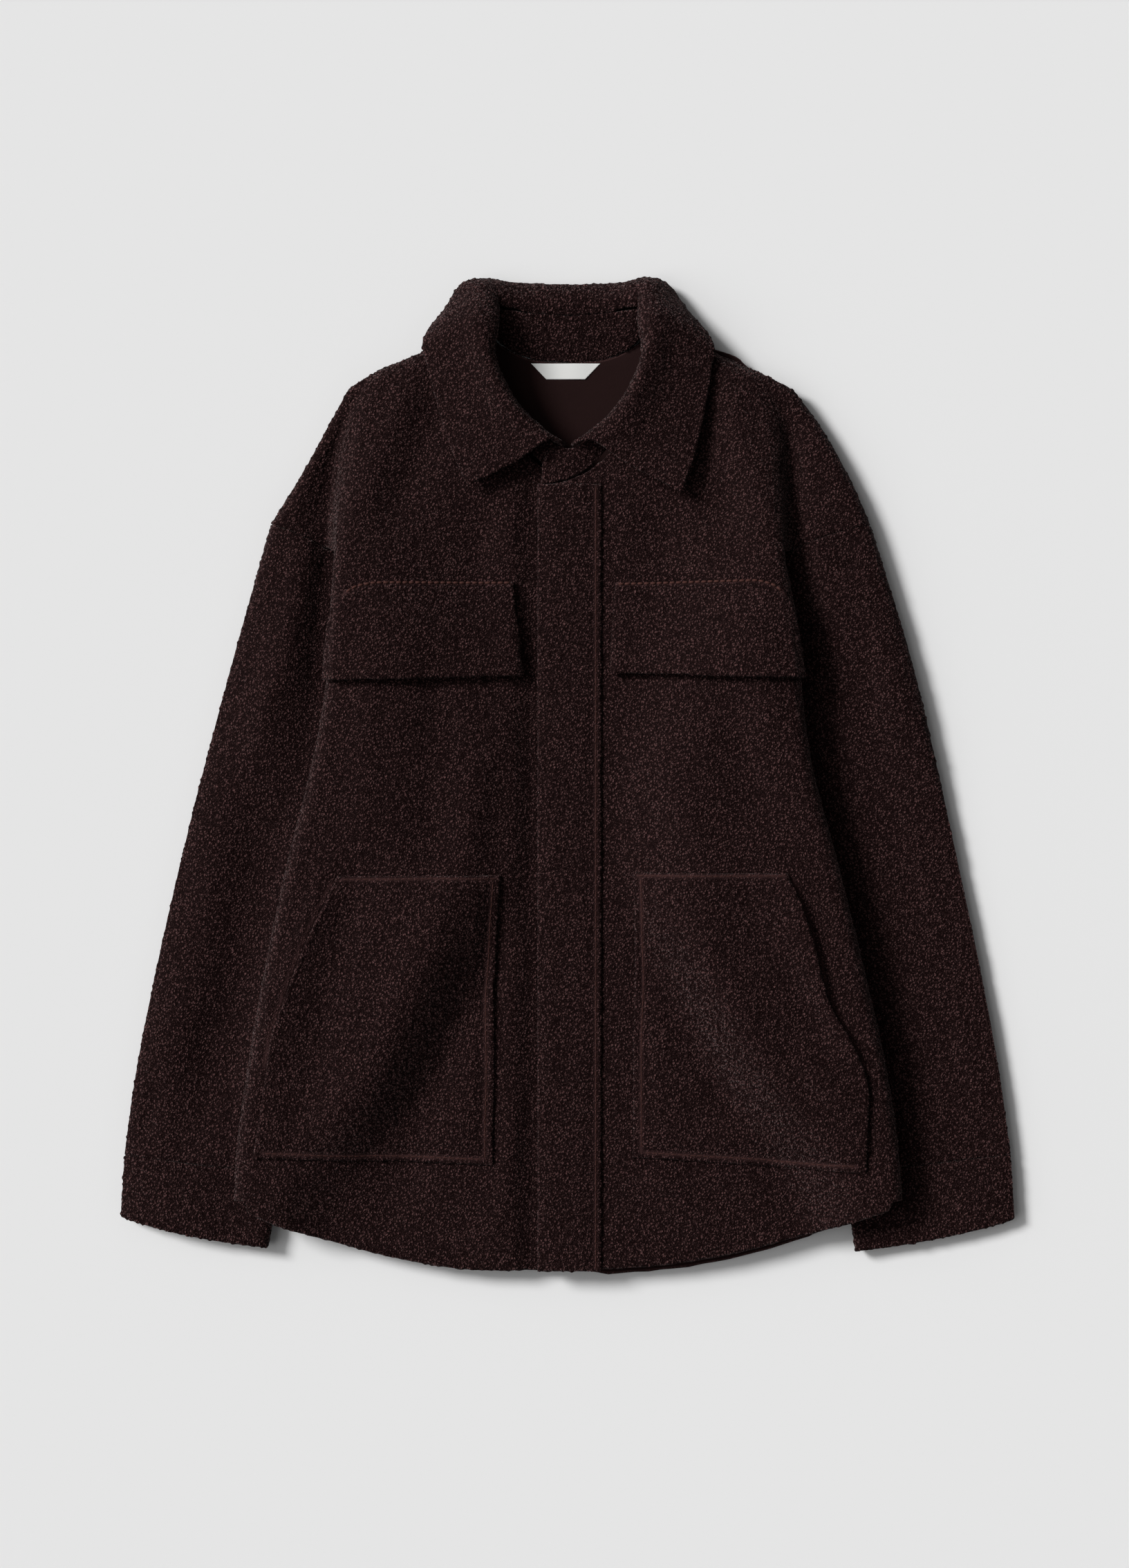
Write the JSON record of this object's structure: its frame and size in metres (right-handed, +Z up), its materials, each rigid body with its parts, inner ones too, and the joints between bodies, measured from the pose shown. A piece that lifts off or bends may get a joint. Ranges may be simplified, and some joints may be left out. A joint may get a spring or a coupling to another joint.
{
  "type": "shacket",
  "caption": "Boxy curly-fleece shacket laid flat, with a pointed shirt collar, hidden front fastening, chest flaps, patch pockets, banded cuffs and a curved hem.",
  "frame": {"origin": "middle of the laid-out garment in plan, on the surface that it lies on", "axes": "+X towards the wearer's left, +Y up the garment to the collar, +Z up out of the fronts"},
  "size_m": [0.7006, 0.7801, 0.0516],
  "materials": {
    "fleece": "matt dark brown curly fleece with a short looped pile, smooth knit on its inner side",
    "label": "plain off-white woven satin, bare"
  },
  "bodies": {
    "root": {"back": "fleece", "front_left": "fleece", "front_right": "fleece", "sleeve_left": "fleece", "sleeve_right": "fleece", "cuff_left": "fleece", "cuff_right": "fleece", "chest_flap_left": "fleece", "chest_flap_right": "fleece", "hip_pocket_left": "fleece", "hip_pocket_right": "fleece", "placket": "fleece", "collar_stand": "fleece", "collar": "fleece", "neck_label": "label"}
  },
  "joints": []
}
